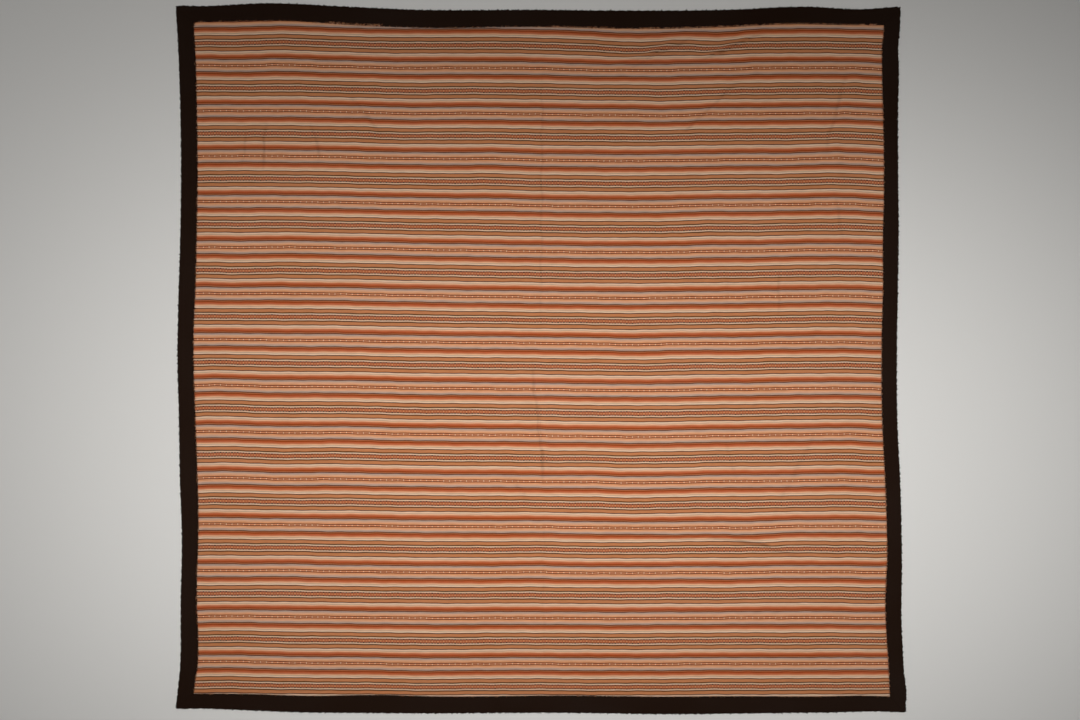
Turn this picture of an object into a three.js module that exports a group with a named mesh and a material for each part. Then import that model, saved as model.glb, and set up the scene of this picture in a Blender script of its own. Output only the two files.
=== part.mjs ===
// A striped bedspread laid out flat: one woven field with a dark plush border mitred round its four sides.
// Millimetres. +X runs along the stripes, +Y towards the head side and +Z up from the surface it lies on.

import * as THREE from 'three';
import { mergeVertices } from 'three/addons/utils/BufferGeometryUtils.js';

// Half sizes of the straight rectangles that the two outlines wander about
const HALF_SIZE = {
  edge: { x: 1117, y: 1092 },
  seam: { x: 1066, y: 1036 },
};

// Thickness of the cloth
const FIELD_THICKNESS = 2;
const BORDER_THICKNESS = 3;
const BORDER_DROP_AT_SIDES = 0.7;

// Clearance between pieces that are sewn edge to edge
const SEAM_GAP = 0.3;
const MITRE_SETBACK = 0.25;

// How far the outer edge and the seam of each side stand out from the straight rectangle, with at running
// from one corner, -1, to the other, 1, towards +X or +Y
const SIDES = {
  head: {
    along: 'x',
    outward: 1,
    rows: [
      { at: -1.0, edge: 4, seam: 7.5 },
      { at: -0.92, edge: 2.5, seam: 9 },
      { at: -0.74, edge: 11, seam: 12 },
      { at: -0.52, edge: 0, seam: -2.5 },
      { at: -0.31, edge: -10, seam: -10.5 },
      { at: -0.04, edge: -9.5, seam: -7 },
      { at: 0.32, edge: -12, seam: -13 },
      { at: 0.53, edge: -9, seam: -8 },
      { at: 0.73, edge: 0.5, seam: 1 },
      { at: 0.89, edge: -7.5, seam: -1.5 },
      { at: 0.96, edge: -2.5, seam: -2 },
      { at: 1.0, edge: 1, seam: -2.5 },
    ],
  },
  foot: {
    along: 'x',
    outward: -1,
    rows: [
      { at: -1.0, edge: -5, seam: 2 },
      { at: -0.92, edge: -6, seam: 2 },
      { at: -0.8, edge: -0.5, seam: 4.5 },
      { at: -0.67, edge: 5, seam: 9 },
      { at: -0.47, edge: 7.5, seam: 6 },
      { at: -0.29, edge: 8.5, seam: 11 },
      { at: 0.04, edge: 6.5, seam: 8 },
      { at: 0.36, edge: 11, seam: 11.5 },
      { at: 0.54, edge: 9, seam: 10 },
      { at: 0.8, edge: 5.5, seam: 11 },
      { at: 0.92, edge: 2.5, seam: 8.5 },
      { at: 1.0, edge: 6, seam: 11 },
    ],
  },
  left: {
    along: 'y',
    outward: -1,
    rows: [
      { at: -1.0, edge: 17, seam: 11 },
      { at: -0.96, edge: 11.5, seam: 5.5 },
      { at: -0.92, edge: 7, seam: -1 },
      { at: -0.88, edge: 2.5, seam: -3.5 },
      { at: -0.71, edge: 1, seam: 1.5 },
      { at: -0.5, edge: -2.5, seam: -4 },
      { at: -0.36, edge: 3, seam: -1 },
      { at: -0.15, edge: 7, seam: 7 },
      { at: 0.0, edge: 11, seam: 11.5 },
      { at: 0.1, edge: 9.5, seam: 10.5 },
      { at: 0.2, edge: 7, seam: 6 },
      { at: 0.33, edge: 2.5, seam: 2.5 },
      { at: 0.56, edge: 0, seam: -1 },
      { at: 0.78, edge: 4.5, seam: 2 },
      { at: 0.9, edge: 10, seam: 5.5 },
      { at: 1.0, edge: 17, seam: 11.5 },
    ],
  },
  right: {
    along: 'y',
    outward: 1,
    rows: [
      { at: -1.0, edge: 17, seam: 15.5 },
      { at: -0.98, edge: 15, seam: 14.5 },
      { at: -0.95, edge: 17, seam: 13 },
      { at: -0.925, edge: 15, seam: 11.5 },
      { at: -0.88, edge: 9, seam: 9 },
      { at: -0.82, edge: 5.5, seam: 5 },
      { at: -0.73, edge: 1.5, seam: 1 },
      { at: -0.57, edge: 3, seam: 7 },
      { at: -0.36, edge: -2, seam: 0.5 },
      { at: -0.15, edge: -12, seam: -9.5 },
      { at: 0.07, edge: -12, seam: -10 },
      { at: 0.22, edge: -9, seam: -6 },
      { at: 0.35, edge: -7, seam: -6.5 },
      { at: 0.5, edge: -8.5, seam: -3 },
      { at: 0.71, edge: -9, seam: -5 },
      { at: 0.82, edge: -6.5, seam: -8 },
      { at: 0.885, edge: -8.5, seam: -9 },
      { at: 0.94, edge: -3, seam: -8.4 },
      { at: 0.97, edge: -2, seam: -5 },
      { at: 1.0, edge: -0.5, seam: -3 },
    ],
  },
};

// Folds that stand up from the flat cloth: half the width of the ridge, its height and the line of its crest
const FOLDS = [
  { name: 'head tuck', reach: 26, height: 6, crest: [[190, 905], [330, 945], [455, 1015]] },
  { name: 'right head tuck', reach: 26, height: 6, crest: [[462, 919], [567, 964], [663, 1012]] },
  { name: 'long slant', reach: 36, height: 3, crest: [[415, 678], [586, 833], [679, 895]] },
  { name: 'right ripple', reach: 40, height: 4, crest: [[958, 1010], [973, 864], [911, 693], [933, 337]] },
  { name: 'middle wrinkle', reach: 22, height: 3.5, crest: [[-2, -4], [10, -113], [30, -401]] },
  { name: 'foot tuck', reach: 26, height: 5, crest: [[291, -562], [508, -547], [617, -562], [803, -609]] },
  { name: 'foot ripple', reach: 28, height: 3, crest: [[849, -640], [958, -615]] },
  { name: 'left slant', reach: 34, height: 3, crest: [[-577, 802], [-499, 656]] },
];

// Share of a fold's length over which it rises from the flat at each end
const FOLD_RUN_IN = 0.3;

// Cells across the field, packed closer together over the bands where folds lie
const CELLS = { x: 44, y: 40 };
const CLOSE_BANDS = {
  x: [
    { centre: 440, reach: 330, extra: 2.2 },
    { centre: 10, reach: 50, extra: 4 },
    { centre: 940, reach: 90, extra: 1.5 },
    { centre: -540, reach: 90, extra: 0.8 },
  ],
  y: [
    { centre: 960, reach: 90, extra: 5 },
    { centre: -580, reach: 75, extra: 6 },
    { centre: 770, reach: 120, extra: 1 },
  ],
};
const BORDER_CELLS_ACROSS = 2;

// Steps of the running total that the cells are packed by
const PACKING_STEPS = 600;

// Finishes
const STRIPED_CLOTH = { color: 0xa37053, roughness: 0.92, metalness: 0 };
const PLUSH = { color: 0x241a15, roughness: 1, metalness: 0 };

// Smooth curves through a side's rows, one value for the outer edge and one for the seam
function wanderOf(side) {
  const places = side.rows.map((row) => row.at);
  const values = side.rows.flatMap((row) => [row.edge, row.seam]);
  return new THREE.CubicInterpolant(places, values, 2);
}

const WANDER = Object.fromEntries(Object.entries(SIDES).map(([name, side]) => [name, wanderOf(side)]));

// How far one line of a side stands out at a place along it
function standOut(name, line, at) {
  const [edge, seam] = WANDER[name].evaluate(at);
  return line === 'edge' ? edge : seam;
}

// A point of an outline: even steps between the side's two corners, stood out by the side's own curve
function outlinePoint(name, line, at, clearance = 0) {
  const { along, outward } = SIDES[name];
  const across = along === 'x' ? 'y' : 'x';
  const [low, high] = along === 'x' ? ['left', 'right'] : ['foot', 'head'];
  const start = -(HALF_SIZE[line][along] + standOut(low, line, outward) + clearance);
  const end = HALF_SIZE[line][along] + standOut(high, line, outward) + clearance;
  const point = new THREE.Vector2();
  point[along] = THREE.MathUtils.mapLinear(at, -1, 1, start, end);
  point[across] = outward * (HALF_SIZE[line][across] + standOut(name, line, at) + clearance);
  return point;
}

// A rounded bump of height 1 that falls to nothing at a distance of 1
function bump(distance) {
  return Math.abs(distance) < 1 ? 0.5 + 0.5 * Math.cos(Math.PI * distance) : 0;
}

// Nearest place on a fold's crest: its distance, and its share of the way along
function nearestOnCrest(crest, x, y) {
  const corners = crest.map(([cornerX, cornerY]) => new THREE.Vector3(cornerX, cornerY, 0));
  const lengths = corners.slice(1).map((corner, index) => corner.distanceTo(corners[index]));
  const whole = lengths.reduce((sum, length) => sum + length, 0);
  const place = new THREE.Vector3(x, y, 0);
  const foot = new THREE.Vector3();
  const nearest = { distance: Infinity, share: 0 };
  let passed = 0;
  for (const [index, length] of lengths.entries()) {
    const stretch = new THREE.Line3(corners[index], corners[index + 1]);
    const share = stretch.closestPointToPointParameter(place, true);
    const distance = stretch.at(share, foot).distanceTo(place);
    if (distance < nearest.distance) {
      nearest.distance = distance;
      nearest.share = (passed + share * length) / whole;
    }
    passed += length;
  }
  return nearest;
}

// Height of the underside: nothing on flat cloth, and the tallest fold where folds meet
function liftAt(x, y) {
  const lifts = FOLDS.map((fold) => {
    const { distance, share } = nearestOnCrest(fold.crest, x, y);
    const fromEnd = Math.min(share, 1 - share);
    const runIn = THREE.MathUtils.smoothstep(fromEnd, 0, FOLD_RUN_IN);
    return fold.height * runIn * bump(distance / fold.reach);
  });
  return Math.max(...lifts);
}

// Places from -1 to 1 along an axis, cutting the running total of a density into equal parts
function packedPlaces(axis) {
  const totals = [0];
  for (let step = 0; step < PACKING_STEPS; step += 1) {
    const place = HALF_SIZE.seam[axis] * THREE.MathUtils.mapLinear(step + 0.5, 0, PACKING_STEPS, -1, 1);
    const extra = CLOSE_BANDS[axis].map((band) => band.extra * bump((place - band.centre) / band.reach));
    totals.push(totals[step] + 1 + extra.reduce((sum, value) => sum + value, 0));
  }
  const ticks = totals.map((total, step) => THREE.MathUtils.mapLinear(step, 0, PACKING_STEPS, -1, 1));
  const inverse = new THREE.LinearInterpolant(totals, ticks, 1);
  const cut = totals[PACKING_STEPS] / CELLS[axis];
  return Array.from({ length: CELLS[axis] + 1 }, (_, index) => inverse.evaluate(index * cut)[0]);
}

const PLACES = { x: packedPlaces('x'), y: packedPlaces('y') };
const ACROSS = Array.from({ length: BORDER_CELLS_ACROSS + 1 }, (_, index) => index / BORDER_CELLS_ACROSS);

// A closed sheet: a box cut into cells, with each corner of a cell moved to its place on the cloth
function sheet(name, finish, columns, rows, planPoint, thicknessAt) {
  const columnCells = columns.length - 1;
  const rowCells = rows.length - 1;
  const geometry = new THREE.BoxGeometry(1, 1, 1, columnCells, rowCells, 1);
  const position = geometry.getAttribute('position');
  for (let index = 0; index < position.count; index += 1) {
    const column = columns[Math.round((position.getX(index) + 0.5) * columnCells)];
    const row = rows[Math.round((position.getY(index) + 0.5) * rowCells)];
    const isTop = position.getZ(index) > 0;
    const { x, y } = planPoint(column, row);
    const z = liftAt(x, y) + (isTop ? thicknessAt(column, row) : 0);
    position.setXYZ(index, x, y, z);
  }
  geometry.deleteAttribute('normal');
  geometry.deleteAttribute('uv');
  const material = new THREE.MeshStandardMaterial(finish);
  const mesh = new THREE.Mesh(mergeVertices(geometry), material);
  mesh.geometry.computeVertexNormals();
  mesh.name = name;
  return mesh;
}

// A point of the field: its four seams blended, less the corners that both pairs of seams count
function fieldPoint(column, row) {
  const u = (column + 1) / 2;
  const v = (row + 1) / 2;
  const rise = outlinePoint('foot', 'seam', column).lerp(outlinePoint('head', 'seam', column), v);
  const run = outlinePoint('left', 'seam', row).lerp(outlinePoint('right', 'seam', row), u);
  const footCorners = outlinePoint('foot', 'seam', -1).lerp(outlinePoint('foot', 'seam', 1), u);
  const headCorners = outlinePoint('head', 'seam', -1).lerp(outlinePoint('head', 'seam', 1), u);
  return rise.add(run).sub(footCorners.lerp(headCorners, v));
}

// The woven field, a level sheet but for its folds
function field() {
  return sheet('field', STRIPED_CLOTH, PLACES.x, PLACES.y, fieldPoint, () => FIELD_THICKNESS);
}

// A point of a border strip, from the seam, across 0, to the outer edge, across 1, with its ends set back
function borderPoint(name, at, across) {
  const half = HALF_SIZE.seam[SIDES[name].along];
  const set = at * (1 - (Math.abs(at) === 1 ? MITRE_SETBACK / half : 0));
  return outlinePoint(name, 'seam', set, SEAM_GAP).lerp(outlinePoint(name, 'edge', set), across);
}

// A strip of plush along one side, thickest along its middle
function borderStrip(name) {
  const { along, outward } = SIDES[name];
  const shares = outward > 0 ? (share) => share : (share) => 1 - share;
  const crown = (share) => BORDER_THICKNESS - BORDER_DROP_AT_SIDES * Math.abs(2 * share - 1);
  if (along === 'x') {
    const plan = (column, row) => borderPoint(name, column, shares(row));
    return sheet(`border_${name}`, PLUSH, PLACES.x, ACROSS, plan, (column, row) => crown(row));
  }
  const plan = (column, row) => borderPoint(name, row, shares(column));
  return sheet(`border_${name}`, PLUSH, ACROSS, PLACES.y, plan, (column) => crown(column));
}

const bedspread = new THREE.Group();
bedspread.add(field());
for (const name of Object.keys(SIDES)) {
  bedspread.add(borderStrip(name));
}

export default bedspread;
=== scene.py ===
"""A striped bedspread laid flat: a woven field, a plush border with its pile, and loose yarn ends.

Shapes are worked out in millimetres and go into meshes in metres. +X runs along the stripes, +Y towards
the head side and +Z up from the surface that the spread lies on.
"""

import logging
from dataclasses import dataclass
from enum import Enum

import bpy
import numpy as np
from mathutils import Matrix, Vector


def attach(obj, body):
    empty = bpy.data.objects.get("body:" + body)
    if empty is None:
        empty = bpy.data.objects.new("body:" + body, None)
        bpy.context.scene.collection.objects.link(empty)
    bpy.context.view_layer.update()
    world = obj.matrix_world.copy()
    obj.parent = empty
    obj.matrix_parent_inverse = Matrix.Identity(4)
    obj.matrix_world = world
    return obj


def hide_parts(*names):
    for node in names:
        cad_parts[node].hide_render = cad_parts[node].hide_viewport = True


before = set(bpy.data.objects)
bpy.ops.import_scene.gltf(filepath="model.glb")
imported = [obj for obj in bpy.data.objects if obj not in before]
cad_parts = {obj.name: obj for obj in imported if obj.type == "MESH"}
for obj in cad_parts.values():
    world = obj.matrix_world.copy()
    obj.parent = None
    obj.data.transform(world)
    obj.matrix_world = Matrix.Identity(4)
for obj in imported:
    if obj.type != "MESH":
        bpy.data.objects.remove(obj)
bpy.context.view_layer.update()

Array = np.ndarray
Colour = tuple[float, float, float, float]
Crest = tuple[tuple[float, float], ...]
Socket = bpy.types.NodeSocket

LOG = logging.getLogger("bedspread")
MM = 0.001
BODY = "root"
BAKE_MAP = "OFBake"
SEED = 4107


class Side(Enum):
    """The four sides of the spread."""

    HEAD = "head"
    FOOT = "foot"
    LEFT = "left"
    RIGHT = "right"

    @property
    def along(self) -> int:
        """Index of the axis that the side runs along."""
        return 0 if self in (Side.HEAD, Side.FOOT) else 1

    @property
    def outward(self) -> int:
        """Sign of the way out of the cloth, across the side."""
        return 1 if self in (Side.HEAD, Side.RIGHT) else -1

    @property
    def neighbours(self) -> tuple["Side", "Side"]:
        """The sides that its low end and its high end run into."""
        return (Side.LEFT, Side.RIGHT) if self.along == 0 else (Side.FOOT, Side.HEAD)


class Line(Enum):
    """The two closed lines of the spread, by their column in SIDE_ROWS."""

    EDGE = 1
    SEAM = 2


class Slot(Enum):
    """The material slots that pieces take their finish from."""

    STRIPED_CLOTH = "striped_cloth"
    PLUSH = "plush"


class Yarn(Enum):
    """The yarns of the stripes, as they look in daylight."""

    TERRACOTTA = "a15837"
    CREAM = "c9aa90"
    UMBER = "583210"
    CAMEL = "b4744b"
    BARK = "4f2c1a"
    OAT = "d3b196"
    TAN = "b8967a"
    SALMON = "d9a582"
    APRICOT = "bf7953"
    BRICK = "b15f3b"
    RUST = "ac5630"
    DEEP_RUST = "883813"
    CINNAMON = "a2633f"
    SMOKE = "512b19"
    LILAC = "ab8e7f"
    PEACH = "ca9876"
    GOLD = "cb8a60"
    CHESTNUT = "602408"
    DUSTY_ROSE = "c6845f"
    BLUSH = "f2d0b0"
    CORAL = "c78458"
    PEAT = "1f0c03"

    @property
    def colour(self) -> Colour:
        """The yarn's colour in linear light."""
        return linear(self.value)


# Half sizes of the straight rectangles that the two lines wander about, mm
HALF_SIZE = {Line.EDGE: (1117.0, 1092.0), Line.SEAM: (1066.0, 1036.0)}

# How far each side stands out from its rectangle. Columns: at, from corner to corner; edge, mm; seam, mm
SIDE_ROWS = {
    Side.HEAD: np.array([
        (-1.0, 4, 7.5), (-0.92, 2.5, 9), (-0.74, 11, 12), (-0.52, 0, -2.5), (-0.31, -10, -10.5),
        (-0.04, -9.5, -7), (0.32, -12, -13), (0.53, -9, -8), (0.73, 0.5, 1), (0.89, -7.5, -1.5),
        (0.96, -2.5, -2), (1.0, 1, -2.5),
    ]),
    Side.FOOT: np.array([
        (-1.0, -5, 2), (-0.92, -6, 2), (-0.8, -0.5, 4.5), (-0.67, 5, 9), (-0.47, 7.5, 6),
        (-0.29, 8.5, 11), (0.04, 6.5, 8), (0.36, 11, 11.5), (0.54, 9, 10), (0.8, 5.5, 11),
        (0.92, 2.5, 8.5), (1.0, 6, 11),
    ]),
    Side.LEFT: np.array([
        (-1.0, 17, 11), (-0.96, 11.5, 5.5), (-0.92, 7, -1), (-0.88, 2.5, -3.5), (-0.71, 1, 1.5),
        (-0.5, -2.5, -4), (-0.36, 3, -1), (-0.15, 7, 7), (0.0, 11, 11.5), (0.1, 9.5, 10.5), (0.2, 7, 6),
        (0.33, 2.5, 2.5), (0.56, 0, -1), (0.78, 4.5, 2), (0.9, 10, 5.5), (1.0, 17, 11.5),
    ]),
    Side.RIGHT: np.array([
        (-1.0, 17, 15.5), (-0.98, 15, 14.5), (-0.95, 17, 13), (-0.925, 15, 11.5), (-0.88, 9, 9),
        (-0.82, 5.5, 5), (-0.73, 1.5, 1), (-0.57, 3, 7), (-0.36, -2, 0.5), (-0.15, -12, -9.5),
        (0.07, -12, -10), (0.22, -9, -6), (0.35, -7, -6.5), (0.5, -8.5, -3), (0.71, -9, -5),
        (0.82, -6.5, -8), (0.885, -8.5, -9), (0.94, -3, -8.4), (0.97, -2, -5), (1.0, -0.5, -3),
    ]),
}


@dataclass(frozen=True)
class Fold:
    """A ridge or trough in the cloth.

    Attributes:
        name: what a maker would call it.
        reach: half its width, mm.
        height: height of its crest, mm, below nothing for a trough.
        crest: corners of the line that its crest follows, mm.
        lean: share by which its left flank, or its right one below nothing, is steeper.
        take_up: length of cloth that it swallows, mm.
        rub: share by which painted shade of the crease darkens the yarn along it.
    """

    name: str
    reach: float
    height: float
    crest: Crest
    lean: float = 0.0
    take_up: float = 0.0
    rub: float = 0.0


# Folds that stand up from the flat cloth, as the solids have them
FOLDS = (
    Fold("head tuck", 26, 6, ((190, 905), (330, 945), (455, 1015)), -0.45, 5),
    Fold("right head tuck", 26, 6, ((462, 919), (567, 964), (663, 1012)), -0.45, 6),
    Fold("long slant", 36, 3, ((415, 678), (586, 833), (679, 895)), -0.3, 2),
    Fold("right ripple", 40, 4, ((958, 1010), (973, 864), (911, 693), (933, 337)), 0.2, 2),
    Fold("middle wrinkle", 22, 3.5, ((-2, -4), (10, -113), (30, -401)), -0.5, 3),
    Fold("foot tuck", 26, 5, ((291, -562), (508, -547), (617, -562), (803, -609)), -0.5, 4),
    Fold("foot ripple", 28, 3, ((849, -640), (958, -615)), -0.3, 2),
    Fold("left slant", 34, 3, ((-577, 802), (-499, 656)), 0.3, 1.5),
)

# Fine creases of storage and handling, too small for the solids
# The last number of many creases is the strength of the painted shade that darkens the yarn along them
CREASES = (
    Fold("middle storage fold, head half", 6, -1.7, ((6, 985), (3, 480), (0, 10)), rub=0.13),
    Fold("middle storage fold, foot half", 7, -0.9, ((12, -390), (8, -700), (14, -1000)), rub=0.04),
    Fold("cross storage fold", 8, -0.6, ((-420, 6), (-20, 5), (431, 5)), rub=0.03),
    Fold("left quarter fold", 9, -0.8, ((-623, 540), (-619, 340), (-617, 150)), rub=0.05),
    Fold("right quarter fold", 9, -0.8, ((577, 340), (578, 200), (577, 58)), rub=0.05),
    Fold("middle wrinkle's trough", 8, -2.8, ((-30, 25), (-17, -113), (-3, -221), (14, -425)), rub=0.26),
    Fold("groove under the head tuck", 8, -2.2, ((262, 896), (330, 926), (400, 962), (478, 1002)), rub=0.27),
    Fold("groove under the right head tuck", 8, -2.2, ((470, 912), (567, 952), (660, 997), (740, 1022)),
         rub=0.24),
    Fold("long slant's groove", 8, -1.8, ((402, 664), (500, 757), (586, 836), (650, 884)), rub=0.2),
    Fold("right ripple's groove", 9, -1.8, ((952, 920), (925, 800), (893, 690), (880, 605)), rub=0.18),
    Fold("right ripple's lower groove", 8, -1.6, ((905, 530), (928, 430), (944, 340)), rub=0.16),
    Fold("left slant's groove", 8, -1.5, ((-606, 832), (-540, 755), (-478, 670)), rub=0.15),
    Fold("foot tuck's pinch", 11, 2.4, ((560, -553), (625, -556), (672, -564), (715, -579)), -0.6, 1.5),
    Fold("groove under the foot tuck", 7, -1.6, ((420, -555), (560, -561), (655, -571)), rub=0.16),
    Fold("groove under the pinch", 8, -2.6, ((588, -563), (635, -568), (668, -574), (728, -589)), rub=0.5),
    Fold("groove right of the pinch", 8, -1.5, ((655, -572), (720, -590), (815, -616)), rub=0.18),
    Fold("crease below the middle", 8, -1.6, ((-134, -335), (-80, -390), (-50, -425), (-30, -460)), rub=0.18),
    Fold("low crease", 11, 1.3, ((12, -810), (55, -828), (90, -857))),
    Fold("lowest crease", 11, 1.3, ((28, -965), (60, -985), (90, -1012))),
    Fold("left wrinkle", 7, -2.0, ((-851, 745), (-857, 660), (-863, 572)), rub=0.26),
    Fold("far left wrinkle", 7, -1.6, ((-910, 722), (-920, 640), (-927, 582)), rub=0.17),
    Fold("inner left wrinkle", 7, -1.8, ((-716, 742), (-697, 680), (-681, 604)), rub=0.22),
    Fold("left wrinkle's ridge", 14, 1.4, ((-838, 722), (-843, 650), (-850, 585))),
    Fold("right wrinkle", 13, 1.5, ((757, 310), (753, 240), (751, 150))),
    Fold("right wrinkle's groove", 7, -1.6, ((743, 318), (739, 230), (737, 122)), rub=0.15),
    Fold("small right wrinkle", 9, -1.2, ((851, 95), (847, 66), (851, 36)), rub=0.08),
    Fold("left edge dimple", 15, -1.0, ((-1011, -531), (-1006, -578), (-1011, -624)), rub=0.06),
    Fold("left middle crease", 10, -1.1, ((-794, -150), (-790, -190), (-794, -230)), rub=0.06),
    Fold("right lower crease", 8, -1.4, ((566, -240), (590, -320), (620, -400)), rub=0.13),
    Fold("outer lower crease", 10, -1.4, ((884, -168), (830, -270), (770, -390), (708, -508)), rub=0.13),
    Fold("head left ripple", 30, 1.2, ((-760, 985), (-600, 962), (-430, 990))),
    Fold("head middle ripple", 34, 1.2, ((-190, 880), (-60, 912), (90, 890))),
    Fold("foot left ripple", 36, 1.1, ((-820, -880), (-640, -905), (-420, -890))),
    Fold("foot right ripple", 36, 1.2, ((250, -905), (460, -930), (700, -900))),
)


@dataclass(frozen=True)
class Drift:
    """A place where the cloth has been pulled towards the foot side, or the head side below nothing.

    Attributes:
        name: where it is.
        middle: its middle, mm.
        reach: how far it spreads along each axis, mm.
        amount: how far the stripes have moved at its middle, mm.
    """

    name: str
    middle: tuple[float, float]
    reach: tuple[float, float]
    amount: float


DRIFT_ALL_OVER = 10.2
DRIFTS = (
    Drift("sag right of the middle", (260, 0), (300, 9000), 4.0),
    Drift("upper left, pushed up", (-850, 480), (500, 480), -14.5),
    Drift("head side, above its tucks", (300, 985), (200, 120), 9.0),
    Drift("lower right", (380, -330), (420, 260), 5.0),
    Drift("foot side, left of the middle", (-250, -600), (260, 480), 2.5),
    Drift("upper right, pushed up", (920, 450), (220, 380), -5.0),
    Drift("head side, left quarter", (-430, 950), (170, 330), 3.0),
    Drift("left side, pushed up", (-1000, -200), (150, 500), -8.0),
    Drift("right seam", (1085, 850), (95, 900), 5.0),
    Drift("head side, left end", (-800, 1000), (100, 130), -5.5),
    Drift("head corner, left", (-1050, 930), (80, 130), -3.0),
    Drift("head side, between its tucks", (565, 985), (80, 110), 5.5),
    Drift("under the head tuck", (370, 790), (80, 90), 3.0),
    Drift("head corner, right", (940, 980), (60, 60), 2.0),
    Drift("left side, slack", (-950, 250), (90, 230), 4.0),
    Drift("upper left, slack", (-700, 560), (330, 200), 2.8),
    Drift("left slant", (-420, 740), (90, 120), 1.2),
    Drift("upper middle", (-160, 600), (80, 180), -2.0),
    Drift("upper right", (530, 450), (90, 120), -2.7),
    Drift("right of the long slant", (750, 660), (80, 80), 2.0),
    Drift("middle, slack", (300, 20), (80, 120), 1.9),
    Drift("right of the middle, slack", (620, 50), (60, 110), 2.0),
    Drift("lower left, pushed up", (-640, -220), (160, 280), -3.7),
    Drift("right side, pushed up", (930, -200), (100, 250), -1.2),
    Drift("under the middle wrinkle", (160, -340), (60, 80), -2.1),
    Drift("above the foot tuck", (530, -370), (80, 120), -2.4),
    Drift("left end of the foot tuck", (270, -470), (60, 60), 2.2),
    Drift("along the foot tuck", (640, -540), (110, 120), 2.0),
    Drift("right seam, lower half", (1050, -400), (60, 350), 3.0),
    Drift("under the foot tuck", (580, -700), (110, 110), 2.2),
    Drift("foot, left of the middle", (-30, -640), (80, 130), -1.9),
    Drift("foot, left quarter", (-790, -660), (110, 150), -3.3),
    Drift("foot corner, left", (-970, -940), (130, 140), -5.0),
    Drift("foot seam, left", (-350, -960), (160, 150), 3.2),
    Drift("foot seam, right", (750, -930), (130, 110), 2.5),
    Drift("foot corner, right", (1000, -780), (120, 200), 2.7),
)


@dataclass(frozen=True)
class Fray:
    """A stretch of seam where cut yarn ends stand out over the border.

    Attributes:
        side: the side that the seam is on.
        start: where the stretch starts along the side, mm.
        end: where it ends, mm.
        spacing: mean distance between yarn ends, mm.
        length: mean length that stands out, mm.
    """

    side: Side
    start: float
    end: float
    spacing: float
    length: float


# How far the pile leans over the seam on each side, as a share of its length
SEAM_LEAN = {Side.HEAD: 1.35, Side.FOOT: 0.8, Side.LEFT: 1.7, Side.RIGHT: 0.7}

# Ends of the strips where the pile fills the corner of the field: 1 for the high end, -1 for the low one
FILLED_CORNER = {Side.HEAD: -1, Side.LEFT: 1}

FRAYS = (
    Fray(Side.HEAD, -1060, 1050, 9.0, 2.0),
    Fray(Side.HEAD, -650, -490, 1.6, 4.4),
    Fray(Side.HEAD, 40, 230, 3.0, 3.2),
    Fray(Side.HEAD, 310, 1040, 2.4, 3.0),
    Fray(Side.FOOT, -1060, 1070, 12.0, 1.8),
    Fray(Side.LEFT, -1030, 1030, 10.0, 1.8),
    Fray(Side.RIGHT, -1030, 1030, 8.0, 2.0),
)


def linear(code: str) -> Colour:
    """Turns a colour from its screen code into linear light.

    Args:
        code: six hexadecimal digits.

    Returns:
        Red, green, blue and a full alpha.
    """
    screen = np.array([int(code[at:at + 2], 16) for at in (0, 2, 4)]) / 255
    light = np.where(screen <= 0.04045, screen / 12.92, ((screen + 0.055) / 1.055) ** 2.4)
    return (*(float(part) for part in light), 1.0)


def smooth_through(places: Array, values: Array, at: Array) -> Array:
    """Runs a smooth curve through a table's rows.

    Between two rows it is a cubic whose slope at a row is the mean of the slopes on its two sides.

    Args:
        places: the rows' places, rising.
        values: the rows' values.
        at: the places to read the curve at.

    Returns:
        The curve's values.
    """
    slopes = np.diff(values) / np.diff(places)
    tangents = np.concatenate([slopes[:1], (slopes[:-1] + slopes[1:]) / 2, slopes[-1:]])
    left = np.clip(np.searchsorted(places, at, side="right") - 1, 0, len(places) - 2)
    step = places[left + 1] - places[left]
    share = (at - places[left]) / step
    from_left = (1 - share) ** 2 * ((1 + 2 * share) * values[left] + share * step * tangents[left])
    from_right = share ** 2 * ((3 - 2 * share) * values[left + 1] + (share - 1) * step * tangents[left + 1])
    return from_left + from_right


def bump(distance: Array) -> Array:
    """A rounded bump of height 1 that falls to nothing at a distance of 1: half a wave of a cosine."""
    return np.where(np.abs(distance) < 1, 0.5 + 0.5 * np.cos(np.pi * distance), 0.0)


def smoothstep(value: Array) -> Array:
    """A smooth rise from 0 to 1 as value goes from 0 to 1."""
    share = np.clip(value, 0, 1)
    return share * share * (3 - 2 * share)


def near_crest(crest: Crest, plan: Array) -> tuple[Array, Array, Array]:
    """Finds the nearest place on a crest for each point of a plan.

    For each stretch of the crest the point is dropped square onto it, and the nearest stretch wins.

    Args:
        crest: corners of the crest's line, mm.
        plan: points, with x and y last, mm.

    Returns:
        The distance, below nothing on the crest's right, the share of the way along it, and how far
        the crest's left hand points towards +Y.
    """
    corners = np.array(crest, dtype=float)
    lengths = np.linalg.norm(np.diff(corners, axis=0), axis=1)
    passed = np.concatenate([[0.0], np.cumsum(lengths)])
    nearest = np.full(plan.shape[:-1], np.inf)
    share = np.zeros_like(nearest)
    hand = np.ones_like(nearest)
    rise = np.zeros_like(nearest)
    for start, end, before, length in zip(corners[:-1], corners[1:], passed, lengths):
        way = (end - start) / length
        along = np.clip((plan - start) @ way, 0, length)
        off = plan - start - along[..., None] * way
        distance = np.hypot(off[..., 0], off[..., 1])
        nearer = distance < nearest
        nearest = np.where(nearer, distance, nearest)
        share = np.where(nearer, (before + along) / passed[-1], share)
        hand = np.where(nearer, np.where(way[0] * off[..., 1] < way[1] * off[..., 0], -1.0, 1.0), hand)
        rise = np.where(nearer, way[0], rise)
    return nearest * hand, share, rise


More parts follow.
